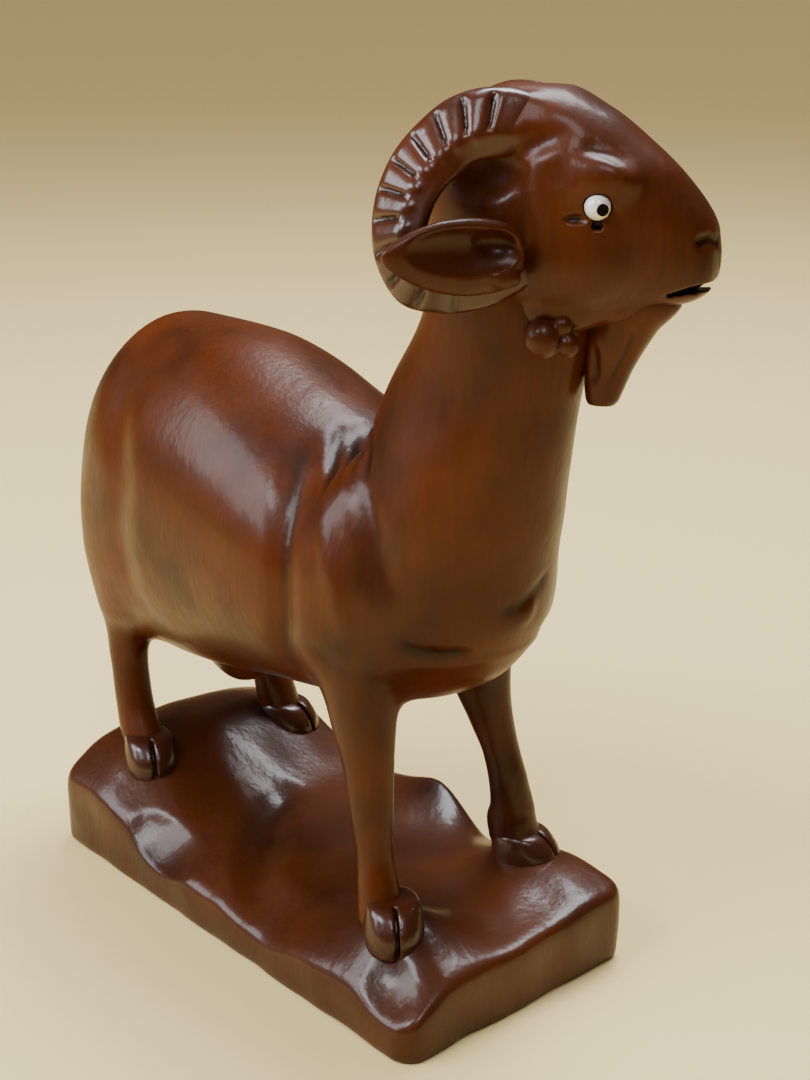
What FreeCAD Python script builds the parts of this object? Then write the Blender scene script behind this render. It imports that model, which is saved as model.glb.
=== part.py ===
import FreeCAD, Part
import math
import os

# Carved goat on a rocky plinth, in millimetres.
# +X is forward (the way the goat looks), +Y is the goat's left and +Z is up.
# The origin is the middle of the plinth's underside.
# The animal and the plinth are carved from one block. Each carved region is a solid of its own
# that meets its neighbours face to face; the glass eye beads and their pins are set in.

Vector = FreeCAD.Vector
SIDES = {"left": 1.0, "right": -1.0}
OVAL_POINTS = 12

# Plinth: a slab with rounded corners under an uneven, rocky top.
PLINTH_LENGTH = 136.0
PLINTH_WIDTH = 70.0
PLINTH_CORNER = 5.5
PLINTH_EDGE_FILLET = 1.5
ROCK_LEVEL = 16.0
ROCK_CEILING = 60.0
ROCK_GRID = (19, 11)
# Each swelling or hollow of the rock: centre x, centre y, rise, spread along x, spread along y.
ROCK_FORMS = (
    (-62.0, 8.0, 14.0, 26.0, 60.0),
    (48.0, -14.0, 3.5, 16.0, 16.0),
    (2.0, 36.0, 6.0, 15.0, 14.0),
    (24.0, 40.0, -7.0, 8.0, 16.0),
    (50.0, 22.0, 4.0, 22.0, 22.0),
    (18.0, -30.0, -3.0, 9.0, 18.0),
    (0.0, -42.0, -7.0, 160.0, 13.0),
    (70.0, -36.0, -3.0, 26.0, 26.0),
)

# Torso, section by section: x, half width, underside z, back z.
TORSO_STATIONS = (
    (-84.0, 6.0, 86.0, 106.0),
    (-80.5, 16.0, 72.0, 121.0),
    (-71.0, 25.5, 60.0, 134.0),
    (-55.0, 31.0, 52.5, 141.0),
    (-30.0, 33.0, 54.0, 142.0),
    (0.0, 33.0, 59.5, 137.0),
    (24.0, 31.5, 63.0, 128.0),
    (44.0, 27.0, 68.0, 118.0),
    (57.0, 18.5, 78.0, 111.0),
    (64.0, 8.0, 88.0, 102.0),
)

# Neck, from inside the chest to inside the skull, turning with the head:
# z, centre x, half length, half width, turn in degrees.
NECK_STATIONS = (
    (92.0, 40.0, 26.0, 22.0, 0.0),
    (108.0, 43.0, 28.0, 24.5, 0.0),
    (125.0, 48.5, 26.2, 20.5, 4.0),
    (140.0, 53.0, 22.2, 16.2, 10.0),
    (153.0, 58.5, 17.8, 13.8, 20.0),
    (162.0, 60.5, 14.5, 11.5, 26.0),
    (170.0, 62.0, 11.0, 9.0, 30.0),
)

# The head looks a little to the goat's left. The head and everything on it are laid out in the
# head's own frame, whose X is the way it looks, and then turned about a vertical pivot.
HEAD_PIVOT = (64.0, 0.0, 0.0)
HEAD_TURN = 30.0
# The crown and the horns end in the flat top of the block.
CROWN_FLAT = 201.5

# Head, from the poll to the nose: x, half width, jaw z, crown z.
HEAD_STATIONS = (
    (-15.0, 5.0, 176.0, 191.0),
    (-11.0, 10.5, 170.0, 197.5),
    (-3.0, 14.5, 164.0, 201.5),
    (7.0, 15.5, 160.5, 202.0),
    (16.0, 14.5, 160.0, 199.0),
    (24.0, 11.5, 161.0, 193.5),
    (31.5, 8.5, 162.0, 185.5),
    (36.0, 6.8, 163.5, 178.5),
    (38.3, 3.5, 167.0, 174.0),
)
MOUTH_TIP = (42.0, 166.2)
MOUTH_CORNER = (30.0, 164.4)
MOUTH_GAP = 0.9
NOSTRIL = (36.0, 4.6, 174.0)
NOSTRIL_RADIUS = 0.7
NOSTRIL_DEPTH = 2.0

# Eyes: a round white bead held in a socket by a dark pin through its bore.
EYE_CENTRE = (17.3, 13.0, 181.5)
EYE_AXIS = (0.58, 0.8, -0.12)
BEAD_RADIUS = 2.5
BEAD_BORE = 1.15
PIN_REACH = 2.6
PIN_LENGTH = 7.0

# Legs, each from its shoulder or hip down to its foot.
HIPS = {
    ("front", "left"): (28.0, 16.5, 80.0),
    ("front", "right"): (35.0, 17.0, 80.0),
    ("rear", "left"): (-59.0, 16.5, 72.0),
    ("rear", "right"): (-60.0, 17.0, 72.0),
}
FEET = {
    ("front", "left"): (42.5, 25.0, 19.0),
    ("front", "right"): (47.0, 22.5, 18.0),
    ("rear", "left"): (-52.0, 23.0, 27.0),
    ("rear", "right"): (-53.5, 20.5, 26.0),
}
# Leg thickness: share of the way down, half length, half width.
FRONT_LEG_PROFILE = (
    (0.0, 13.0, 7.5),
    (0.2, 10.0, 7.6),
    (0.42, 5.8, 5.2),
    (0.65, 4.0, 3.9),
    (0.82, 3.8, 3.6),
    (0.93, 4.6, 4.2),
)
REAR_LEG_PROFILE = (
    (0.0, 10.5, 6.5),
    (0.22, 7.4, 6.2),
    (0.48, 4.8, 4.3),
    (0.7, 4.1, 3.9),
    (0.9, 5.0, 4.6),
)

# Cloven hooves.
HOOF_HEIGHT = 8.5
HOOF_TOP = (5.0, 4.6)
HOOF_BASE = (9.0, 6.6)
HOOF_LEAN = 3.0
HOOF_SINK = 5.0
CLEFT_WIDTH = 1.2
CLEFT_DEPTH = 7.0

# Horns: a ridged curl in a plane beside the head, sweeping back, down and forward.
HORN_CENTRE = (-3.5, 181.5)
HORN_RADIUS = 15.0
HORN_START = 45.0
HORN_SWEEP = 255.0
HORN_ROOT_Y = 7.5
HORN_BULGE_Y = 16.5
HORN_FLARE = 0.85
HORN_FLARE_DELAY = 1.35
HORN_ROOT_SIZE = (6.0, 4.6)
HORN_TIP_SIZE = (3.6, 2.4)
HORN_RIDGES = 10
HORN_GROOVE = 0.9

# Ears: leaf shapes hollowed on the outside, lying across the horns.
EAR_ROOT = (5.0, 14.0, 172.5)
EAR_TIP = (-18.0, 35.5, 175.0)
# Share of the length, half breadth, half thickness.
EAR_PROFILE = (
    (0.0, 3.2, 2.0),
    (0.2, 5.4, 2.4),
    (0.45, 6.8, 2.3),
    (0.75, 4.8, 1.7),
    (1.0, 0.7, 0.5),
)
EAR_HOLLOW_SCALE = 0.72
EAR_HOLLOW_SHIFT = 2.0

# Beard, down from the chin: z, centre x, half length, half width.
BEARD_STATIONS = (
    (166.0, 22.5, 8.5, 4.6),
    (156.0, 20.8, 7.2, 5.2),
    (148.5, 19.0, 5.6, 4.4),
    (141.5, 17.2, 3.2, 2.6),
)

# Wattles: a large and a small round lobe on each side of the throat: centre and radius.
WATTLE_LOBES = {
    "left": (
        (6.5, 14.5, 155.8, 3.7),
        (10.8, 13.5, 155.0, 2.4),
    ),
    "right": (
        (7.3, 12.0, 155.8, 3.7),
        (11.6, 10.5, 155.0, 2.4),
    ),
}

# Tail, lying down the rump: z, centre x, half length, half width.
TAIL_STATIONS = (
    (126.0, -79.5, 2.4, 2.4),
    (116.0, -84.0, 3.2, 4.4),
    (104.0, -86.0, 2.6, 4.0),
    (94.0, -86.2, 1.4, 2.0),
)

# Sheath, a low swelling under the belly.
# x, half width, low z, high z.
SHEATH_STATIONS = (
    (-49.5, 1.2, 50.0, 53.0),
    (-45.0, 4.4, 47.0, 57.0),
    (-37.0, 5.6, 46.0, 59.0),
    (-28.0, 3.8, 49.5, 59.0),
    (-24.5, 1.2, 53.0, 57.0),
)

X_AXIS = Vector(1, 0, 0)
Y_AXIS = Vector(0, 1, 0)
Z_AXIS = Vector(0, 0, 1)


def turned(shape):
    """A shape moved from the head's frame to the animal's."""
    placed = shape.copy()
    placed.rotate(Vector(0, 0, 0), Z_AXIS, HEAD_TURN)
    placed.translate(Vector(*HEAD_PIVOT))
    return placed


def mirrored(point, side):
    """A left-hand point moved to the given side."""
    return Vector(point[0], point[1] * side, point[2])


def oval(centre, axis_a, axis_b, half_a, half_b):
    """A closed smooth oval wire, always starting on the same axis so that lofts don't twist."""
    points = []
    for step in range(OVAL_POINTS):
        angle = 2.0 * math.pi * step / OVAL_POINTS
        along = axis_a * (half_a * math.cos(angle))
        across = axis_b * (half_b * math.sin(angle))
        points.append(centre + along + across)
    curve = Part.BSplineCurve()
    curve.interpolate(Points=points, PeriodicFlag=True)
    return Part.Wire(curve.toShape())


def upright_loft(stations):
    """A solid through horizontal ovals: z, centre x, half length, half width."""
    wires = [oval(Vector(x, 0, z), X_AXIS, Y_AXIS, half_length, half_width)
             for z, x, half_length, half_width in stations]
    return Part.makeLoft(wires, True)


def make_neck():
    """A solid through horizontal ovals that turn towards the head as they rise."""
    wires = []
    for z, x, half_length, half_width, turn in NECK_STATIONS:
        angle = math.radians(turn)
        along = Vector(math.cos(angle), math.sin(angle), 0)
        across = Vector(-math.sin(angle), math.cos(angle), 0)
        wires.append(oval(Vector(x, 0, z), along, across, half_length, half_width))
    return Part.makeLoft(wires, True)


def lengthwise_loft(stations):
    """A solid through upright ovals across the animal: x, half width, low z, high z."""
    wires = [oval(Vector(x, 0, (low + high) / 2.0), Y_AXIS, Z_AXIS, half_width, (high - low) / 2.0)
             for x, half_width, low, high in stations]
    return Part.makeLoft(wires, True)


def largest(shape):
    """The biggest solid of a cut shape, without loose scraps."""
    return max(shape.Solids, key=lambda solid: solid.Volume)


def less(shape, *others):
    """The shape with its neighbours' volumes taken away, so that they only touch."""
    for other in others:
        shape = shape.cut(other)
    return largest(shape)


def rock_height(x, y):
    """Height of the rocky top."""
    height = ROCK_LEVEL
    for form_x, form_y, rise, spread_x, spread_y in ROCK_FORMS:
        distance = ((x - form_x) / spread_x) ** 2 + ((y - form_y) / spread_y) ** 2
        height += rise * math.exp(-distance)
    return height


def rock_cutter():
    """The space above the rocky top."""
    columns, rows = ROCK_GRID
    grid = []
    for i in range(columns):
        x = PLINTH_LENGTH * 1.1 * (i / (columns - 1) - 0.5)
        row = []
        for j in range(rows):
            y = PLINTH_WIDTH * 1.1 * (j / (rows - 1) - 0.5)
            row.append(Vector(x, y, rock_height(x, y)))
        grid.append(row)
    surface = Part.BSplineSurface()
    surface.interpolate(grid)
    return surface.toShape().extrude(Vector(0, 0, ROCK_CEILING))


def make_plinth():
    slab = Part.makeBox(PLINTH_LENGTH, PLINTH_WIDTH, ROCK_CEILING,
                        Vector(-PLINTH_LENGTH / 2.0, -PLINTH_WIDTH / 2.0, 0))
    uprights = [edge for edge in slab.Edges
                if abs(edge.tangentAt(edge.FirstParameter).z) > 0.99]
    slab = slab.makeFillet(PLINTH_CORNER, uprights)
    rock = largest(slab.cut(rock_cutter()))
    rim = [edge for edge in rock.Edges
           if edge.BoundBox.ZMin > 1.0 and abs(edge.tangentAt(edge.FirstParameter).z) < 0.9]
    return rock.makeFillet(PLINTH_EDGE_FILLET, rim)


def eye_frame(side):
    """The bead's centre and its bore's outward direction."""
    return mirrored(EYE_CENTRE, side), mirrored(EYE_AXIS, side).normalize()


def make_pin(side):
    centre, axis = eye_frame(side)
    start = centre + axis * (PIN_REACH - PIN_LENGTH)
    return Part.makeCylinder(BEAD_BORE, PIN_LENGTH, start, axis)


def make_bead(side):
    centre, _ = eye_frame(side)
    ball = Part.makeSphere(BEAD_RADIUS, centre)
    return largest(ball.cut(make_pin(side)))


def mouth_cutter():
    """A thin wedge between the lips, open at the front."""
    tip_x, tip_z = MOUTH_TIP
    corner_x, corner_z = MOUTH_CORNER
    reach = HEAD_STATIONS[2][1]
    outline = Part.makePolygon([
        Vector(corner_x, -reach, corner_z),
        Vector(tip_x, -reach, tip_z + MOUTH_GAP),
        Vector(tip_x, -reach, tip_z - MOUTH_GAP),
        Vector(corner_x, -reach, corner_z),
    ])
    return Part.Face(outline).extrude(Vector(0, 2.0 * reach, 0))


def nostril_cutter(side):
    outward = mirrored((0.6, 0.8, 0.1), side).normalize()
    start = mirrored(NOSTRIL, side) - outward * (NOSTRIL_DEPTH / 2.0)
    return Part.makeCylinder(NOSTRIL_RADIUS, NOSTRIL_DEPTH * 2.0, start, outward)


def make_head():
    head = lengthwise_loft(HEAD_STATIONS)
    head = head.cut(mouth_cutter())
    for side in SIDES.values():
        centre, _ = eye_frame(side)
        head = head.cut(Part.makeSphere(BEAD_RADIUS, centre))
        head = head.cut(make_pin(side))
        head = head.cut(nostril_cutter(side))
    return largest(head)


def flat_topped(shape):
    """A shape in the head's frame with everything above the crown's flat taken off."""
    span = 200.0
    above = Part.makeBox(span, span, span, Vector(-span / 2.0, -span / 2.0, CROWN_FLAT))
    return largest(shape.cut(above))


def make_leg(hip, foot, profile, side):
    """A tapering leg from the hip to just above the foot."""
    top = mirrored(hip, side)
    bottom = mirrored(foot, side)
    wires = []
    for share, half_length, half_width in profile:
        centre = top + (bottom - top) * share
        wires.append(oval(centre, X_AXIS, Y_AXIS, half_length, half_width))
    return Part.makeLoft(wires, True)


def make_hoof(foot, side):
    """A cloven hoof that reaches a little into the rock, where the plinth trims it."""
    base = mirrored(foot, side)
    slope = HOOF_LEAN / HOOF_HEIGHT
    wires = [
        oval(base + Vector(HOOF_LEAN + slope * HOOF_SINK, 0, -HOOF_SINK), X_AXIS, Y_AXIS, *HOOF_BASE),
        oval(base + Vector(HOOF_LEAN, 0, HOOF_HEIGHT * 0.1), X_AXIS, Y_AXIS, *HOOF_BASE),
        oval(base + Vector(HOOF_LEAN * 0.4, 0, HOOF_HEIGHT * 0.65), X_AXIS, Y_AXIS,
             (HOOF_BASE[0] + HOOF_TOP[0]) / 2.0, (HOOF_BASE[1] + HOOF_TOP[1]) / 2.0),
        oval(base + Vector(0, 0, HOOF_HEIGHT), X_AXIS, Y_AXIS, *HOOF_TOP),
    ]
    solid = Part.makeLoft(wires, True)
    toe = base.x + HOOF_LEAN + HOOF_BASE[0]
    cleft = Part.makeBox(CLEFT_DEPTH * 2.0, CLEFT_WIDTH, HOOF_HEIGHT + HOOF_SINK * 2.0,
                         Vector(toe - CLEFT_DEPTH, base.y - CLEFT_WIDTH / 2.0, base.z - HOOF_SINK * 2.0))
    return largest(solid.cut(cleft))


def horn_point(angle, side):
    """The horn's centre line at an angle measured from forward, up and back."""
    direction = math.radians(angle)
    share = (angle - HORN_START) / HORN_SWEEP
    y = HORN_ROOT_Y + HORN_BULGE_Y * math.sin(math.pi * HORN_FLARE * share ** HORN_FLARE_DELAY)
    return Vector(HORN_CENTRE[0] + HORN_RADIUS * math.cos(direction), side * y,
                  HORN_CENTRE[1] + HORN_RADIUS * math.sin(direction))


def make_horn(side):
    """A curled horn whose sections swell and shrink into ridges."""
    steps = HORN_RIDGES * 2
    wires = []
    for step in range(steps + 1):
        share = step / steps
        angle = HORN_START + HORN_SWEEP * share
        radial = Vector(math.cos(math.radians(angle)), 0, math.sin(math.radians(angle)))
        half_a = HORN_ROOT_SIZE[0] + (HORN_TIP_SIZE[0] - HORN_ROOT_SIZE[0]) * share ** 2
        half_b = HORN_ROOT_SIZE[1] + (HORN_TIP_SIZE[1] - HORN_ROOT_SIZE[1]) * share ** 2
        if step % 2:
            half_a *= HORN_GROOVE
            half_b *= HORN_GROOVE
        wires.append(oval(horn_point(angle, side), radial, Y_AXIS, half_a, half_b))
    return Part.makeLoft(wires, True)


def make_ear(side):
    """A leaf-shaped ear with a hollowed outer face."""
    root = mirrored(EAR_ROOT, side)
    tip = mirrored(EAR_TIP, side)
    along = (tip - root).normalize()
    outward = along.cross(Z_AXIS).normalize() * -side
    breadth = outward.cross(along).normalize()
    outer = []
    hollow = []
    for share, half_breadth, half_thickness in EAR_PROFILE:
        centre = root + (tip - root) * share
        outer.append(oval(centre, breadth, outward, half_breadth, half_thickness))
    for share, half_breadth, half_thickness in EAR_PROFILE[1:-1]:
        centre = root + (tip - root) * share + outward * EAR_HOLLOW_SHIFT
        hollow.append(oval(centre, breadth, outward,
                           half_breadth * EAR_HOLLOW_SCALE, half_thickness))
    leaf = Part.makeLoft(outer, True)
    return largest(leaf.cut(Part.makeLoft(hollow, True)))


def make_wattle(name):
    """A large and a small rounded lobe that run into each other."""
    side = SIDES[name]
    large, small = [Part.makeSphere(radius, mirrored((x, y, z), side))
                    for x, y, z, radius in WATTLE_LOBES[name]]
    return largest(large.fuse(small))


def build_head(neck_and_torso):
    """The head and everything on it, turned into place and trimmed against each other."""
    raw_head = flat_topped(make_head())
    head = turned(raw_head)
    beard = less(turned(upright_loft(BEARD_STATIONS)), head, *neck_and_torso)
    parts = {"head": head, "beard": beard}
    for name, side in SIDES.items():
        horn = less(turned(flat_topped(make_horn(side))), head, *neck_and_torso)
        parts[f"{name}_horn"] = horn
        parts[f"{name}_ear"] = less(turned(make_ear(side)), head, horn)
        parts[f"{name}_wattle"] = less(turned(make_wattle(name)), head, beard, *neck_and_torso)
        parts[f"{name}_eye_bead"] = turned(make_bead(side))
        parts[f"{name}_eye_pin"] = turned(make_pin(side))
    return parts


def build_legs(plinth, torso, neck):
    """Four legs on cloven hooves."""
    parts = {}
    for key, foot in FEET.items():
        end, name = key
        side = SIDES[name]
        profile = FRONT_LEG_PROFILE if end == "front" else REAR_LEG_PROFILE
        hoof = less(make_hoof(foot, side), plinth)
        parts[f"{end}_{name}_hoof"] = hoof
        leg = make_leg(HIPS[key], foot, profile, side)
        parts[f"{end}_{name}_leg"] = less(leg, torso, neck, hoof)
    return parts


def build():
    """Every region and inset piece by name, trimmed so that none of them overlap."""
    plinth = make_plinth()
    torso = lengthwise_loft(TORSO_STATIONS)
    neck = make_neck().cut(torso)
    neck = less(neck, turned(flat_topped(make_head())))
    parts = {"plinth": plinth, "torso": torso, "neck": neck}
    parts.update(build_head((neck, torso)))
    parts.update(build_legs(plinth, torso, neck))
    parts["tail"] = less(upright_loft(TAIL_STATIONS), torso)
    parts["sheath"] = less(lengthwise_loft(SHEATH_STATIONS), torso)
    return parts


def export(parts):
    os.makedirs("parts", exist_ok=True)
    for name, shape in parts.items():
        shape.exportStep(f"parts/{name}.step")
        box = shape.BoundBox
        print(f"{name:20s} volume {shape.Volume:9.1f} valid {shape.isValid()} "
              f"x {box.XMin:6.1f} {box.XMax:6.1f} y {box.YMin:6.1f} {box.YMax:6.1f} "
              f"z {box.ZMin:6.1f} {box.ZMax:6.1f}")


export(build())
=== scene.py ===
import math

import bpy
import numpy as np
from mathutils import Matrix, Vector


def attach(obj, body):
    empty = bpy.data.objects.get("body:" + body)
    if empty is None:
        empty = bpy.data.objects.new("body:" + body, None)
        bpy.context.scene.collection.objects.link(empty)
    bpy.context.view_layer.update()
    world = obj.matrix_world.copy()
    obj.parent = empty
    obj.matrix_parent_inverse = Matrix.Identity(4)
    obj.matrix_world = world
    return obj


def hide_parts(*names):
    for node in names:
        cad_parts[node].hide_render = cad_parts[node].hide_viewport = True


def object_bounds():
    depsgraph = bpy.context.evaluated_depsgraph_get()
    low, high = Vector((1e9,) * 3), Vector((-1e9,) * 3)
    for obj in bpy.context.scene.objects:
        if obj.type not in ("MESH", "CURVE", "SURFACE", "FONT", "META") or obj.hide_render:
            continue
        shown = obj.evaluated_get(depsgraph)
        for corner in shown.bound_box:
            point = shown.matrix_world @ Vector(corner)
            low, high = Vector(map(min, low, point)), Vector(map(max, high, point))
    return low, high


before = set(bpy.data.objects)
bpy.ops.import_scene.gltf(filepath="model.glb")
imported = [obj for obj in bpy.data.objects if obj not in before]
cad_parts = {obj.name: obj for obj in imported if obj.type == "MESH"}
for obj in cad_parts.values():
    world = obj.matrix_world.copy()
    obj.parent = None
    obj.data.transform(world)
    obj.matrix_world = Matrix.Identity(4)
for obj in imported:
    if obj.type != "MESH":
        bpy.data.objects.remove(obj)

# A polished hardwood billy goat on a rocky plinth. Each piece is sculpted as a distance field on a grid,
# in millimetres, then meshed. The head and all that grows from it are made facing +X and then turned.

import openvdb as vdb
from mathutils import Euler, Vector

CAD_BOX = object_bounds()
CAD_HEIGHT_MM = 201.5
MM = (CAD_BOX[1].z - CAD_BOX[0].z) / CAD_HEIGHT_MM
BODY = "root"
SIDES = (("right", -1), ("left", 1))
# The value of a grid far from any surface, and the least divisor.
FAR = 50.0
TINY = 1e-4
SETTLE_ROUNDS = 6

# The turned head.
HEAD_PIVOT = np.array((64.0, 0.0, 0.0))
HEAD_TURN = math.radians(30)
CROWN_FLAT = 202.6


# ---------------------------------------------------------------- distance fields


class Clay:
    """Material on a grid in millimetres. A value is the distance from the surface, negative inside."""

    def __init__(self, low, high, step):
        self.low = np.array(low, dtype=np.float32)
        self.step = step
        counts = [int(math.ceil((h - l) / step)) + 1 for l, h in zip(low, high)]
        lines = [l + step * np.arange(n, dtype=np.float32) for l, n in zip(low, counts)]
        self.x, self.y, self.z = np.meshgrid(*lines, indexing="ij", sparse=True)
        self.value = np.full(counts, FAR, dtype=np.float32)

    def window(self, low, high):
        """The part of the grid inside a box. It shares its values with the whole."""
        part = object.__new__(Clay)
        slices = []
        for axis in range(3):
            count = self.value.shape[axis]
            first = int(np.clip((low[axis] - self.low[axis]) / self.step, 0, count - 2))
            last = int(np.clip((high[axis] - self.low[axis]) / self.step + 2, first + 2, count))
            slices.append(slice(first, last))
        part.low = self.low + self.step * np.array([s.start for s in slices], dtype=np.float32)
        part.step = self.step
        part.x = self.x[slices[0]]
        part.y = self.y[:, slices[1]]
        part.z = self.z[:, :, slices[2]]
        part.value = self.value[tuple(slices)]
        return part

    def join(self, shape, blend=0.0):
        self.value[...] = smooth_min(self.value, shape, blend)

    def cut(self, shape, blend=0.0):
        self.value[...] = -smooth_min(-self.value, shape, blend)

    def keep(self, shape, blend=0.0):
        self.value[...] = -smooth_min(-self.value, -shape, blend)

    def sample(self, points):
        """The value at any points, by trilinear interpolation."""
        place = (np.asarray(points, dtype=np.float32) - self.low) / self.step
        last_cell = np.array(self.value.shape) - 1.001
        place = np.clip(place, 0, last_cell)
        cell = place.astype(int)
        part = place - cell
        total = np.zeros(len(place), dtype=np.float32)
        for corner in range(8):
            offset = np.array([(corner >> axis) & 1 for axis in range(3)])
            weight = np.prod(np.where(offset == 1, part, 1 - part), axis=1)
            i, j, k = (cell + offset).T
            total += weight * self.value[i, j, k]
        return total

    def slope(self, points, reach):
        """The direction in which the value rises, at any points."""
        rise = np.stack(
            [self.sample(points + reach * axis) - self.sample(points - reach * axis) for axis in np.eye(3)],
            axis=1,
        )
        return rise / np.maximum(np.linalg.norm(rise, axis=1, keepdims=True), TINY)

    def settle(self, points):
        """Moves points onto the surface."""
        points = np.array(points, dtype=np.float32)
        for _ in range(SETTLE_ROUNDS):
            points = points - self.slope(points, self.step) * self.sample(points)[:, None]
        return points


def smooth_min(a, b, blend):
    """The lower of two fields, with a rounded join as wide as blend."""
    if blend <= 0:
        return np.minimum(a, b)
    near = np.maximum(blend - np.abs(a - b), 0) / blend
    return np.minimum(a, b) - near * near * near * (blend / 6)


def evened(gauge, step, axis=None):
    """Turns a gauge that is 1 on the surface into a distance. The slope along a loft's axis is held back."""
    squares = [s * s for s in np.gradient(gauge, step)]
    if axis is not None:
        along = squares.pop(axis)
        across = squares[0] + squares[1]
        squares = [across, np.minimum(along, across)]
    return (gauge - 1) / np.maximum(np.sqrt(sum(squares)), TINY)


def smooth_step(value, low, high):
    """Rises smoothly from 0 at the low value to 1 at the high one."""
    share = np.clip((value - low) / (high - low), 0, 1)
    return share * share * (3 - 2 * share)


def eased(table, at):
    """Reads a table of rows (position, values...) at any positions, along smooth curves through the rows."""
    rows = np.array(table, dtype=float)
    order = np.argsort(rows[:, 0])
    knots, values = rows[order, 0], rows[order, 1:]
    at = np.asarray(at)
    gaps = np.diff(knots)
    slopes = np.diff(values, axis=0) / gaps[:, None]
    tangents = np.zeros_like(values)
    same_way = slopes[:-1] * slopes[1:] > 0
    before, after = gaps[:-1, None], gaps[1:, None]
    first, second = 2 * after + before, after + 2 * before
    with np.errstate(divide="ignore", invalid="ignore"):
        mean = (first + second) / (first / slopes[:-1] + second / slopes[1:])
    tangents[1:-1] = np.where(same_way, mean, 0)
    tangents[0], tangents[-1] = slopes[0], slopes[-1]
    place = np.clip(at, knots[0], knots[-1])
    cell = np.clip(np.searchsorted(knots, place, side="right") - 1, 0, len(gaps) - 1)
    gap = gaps[cell]
    share = (place - knots[cell]) / gap
    found = []
    for column in range(values.shape[1]):
        a, b = values[cell, column], values[cell + 1, column]
        ta, tb = tangents[cell, column] * gap, tangents[cell + 1, column] * gap
        curve = a + share * (ta + share * (3 * (b - a) - 2 * ta - tb + share * (2 * (a - b) + ta + tb)))
        found.append(curve.astype(np.float32))
    return found


def ball(clay, centre, radii):
    """Distance from an egg with the given half sizes."""
    dx, dy, dz = clay.x - centre[0], clay.y - centre[1], clay.z - centre[2]
    first = np.sqrt((dx / radii[0]) ** 2 + (dy / radii[1]) ** 2 + (dz / radii[2]) ** 2)
    second = np.sqrt((dx / radii[0] ** 2) ** 2 + (dy / radii[1] ** 2) ** 2 + (dz / radii[2] ** 2) ** 2)
    return first * (first - 1) / np.maximum(second, TINY)


def upright(clay, stations, power=2.0):
    """A body with level oval slices. Rows are (z, x, y, half length, half width, turn in degrees)."""
    cx, cy, length, width, turn = eased(stations, clay.z)
    c, s = np.cos(np.radians(turn)), np.sin(np.radians(turn))
    dx, dy = clay.x - cx, clay.y - cy
    across = np.abs(c * dx + s * dy) / length
    aside = np.abs(c * dy - s * dx) / width
    gauge = (across ** power + aside ** power) ** (1 / power)
    lowest, highest = stations[0][0], stations[-1][0]
    ends = np.maximum(lowest - clay.z, clay.z - highest)
    return np.maximum(evened(gauge, clay.step, 2), ends)


def lengthwise(clay, stations, power=2.0):
    """A body with oval slices across X. Rows are (x, half width, low z, high z)."""
    width, low, high = eased(stations, clay.x)
    middle, half = (low + high) / 2, (high - low) / 2
    gauge = ((np.abs(clay.y) / width) ** power + (np.abs(clay.z - middle) / half) ** power) ** (1 / power)
    ends = np.maximum(stations[0][0] - clay.x, clay.x - stations[-1][0])
    return np.maximum(evened(gauge, clay.step, 0), ends)


def finer(points, spacing):
    """More points along a line through some points, evenly spread on a smooth curve."""
    points = np.array(points, dtype=float)
    walked = np.concatenate([[0], np.cumsum(np.linalg.norm(np.diff(points, axis=0), axis=1))])
    count = max(2, int(walked[-1] / spacing) + 1)
    curve = eased(np.column_stack([walked, points]), np.linspace(0, walked[-1], count))
    return np.stack(curve, axis=1)


def from_line(clay, points):
    """Distance from a line through points, and the share of the line's length at the nearest place."""
    nearest = np.full(clay.value.shape, FAR, dtype=np.float32)
    share = np.zeros(clay.value.shape, dtype=np.float32)
    for number, (a, b) in enumerate(zip(points[:-1], points[1:])):
        run = b - a
        dx, dy, dz = clay.x - a[0], clay.y - a[1], clay.z - a[2]
        t = np.clip((dx * run[0] + dy * run[1] + dz * run[2]) / max(run @ run, TINY), 0, 1)
        distance = np.sqrt((dx - t * run[0]) ** 2 + (dy - t * run[1]) ** 2 + (dz - t * run[2]) ** 2)
        closer = distance < nearest
        nearest = np.where(closer, distance, nearest)
        share = np.where(closer, (number + t) / (len(points) - 1), share)
    return nearest, share


GROOVE_SPACING = 3.0
GROOVE_REACH = 3
SHARP_WIDTH = 1.6


def groove(clay, points, width, depth, sharp=False, fade=0.25):
    """Carves a line into the surface. A negative depth raises a ridge. It fades out at both ends."""
    points = clay.settle(finer(clay.settle(points), GROOVE_SPACING))
    margin = GROOVE_REACH * width + 1
    part = clay.window(points.min(0) - margin, points.max(0) + margin)
    distance, share = from_line(part, points)
    if sharp:
        shape = np.maximum(1 - distance / (SHARP_WIDTH * width), 0)
    else:
        shape = np.exp(-((distance / width) ** 2))
    ends = smooth_step(np.minimum(share, 1 - share), 0, fade)
    part.value += (depth * ends * shape).astype(np.float32)


def on_side(points, side):
    """The points as they are, or mirrored to the other side when side is -1."""
    return [(x, y * side, z) for x, y, z in points]


def swell(clay, form, side=1):
    """Adds an egg-shaped swelling, given as its centre, half sizes and blend."""
    centre, radii, blend = form
    clay.join(ball(clay, on_side([centre], side)[0], radii), blend)


def side_window(clay, box, side):
    """The part of the grid inside a box that is given for the left side."""
    low, high = np.sort([(x, y * side, z) for x, y, z in box], axis=0)
    return clay.window(low, high)


WAVE_COUNT = 10
WAVE_SPREAD = (0.7, 1.6)


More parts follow.
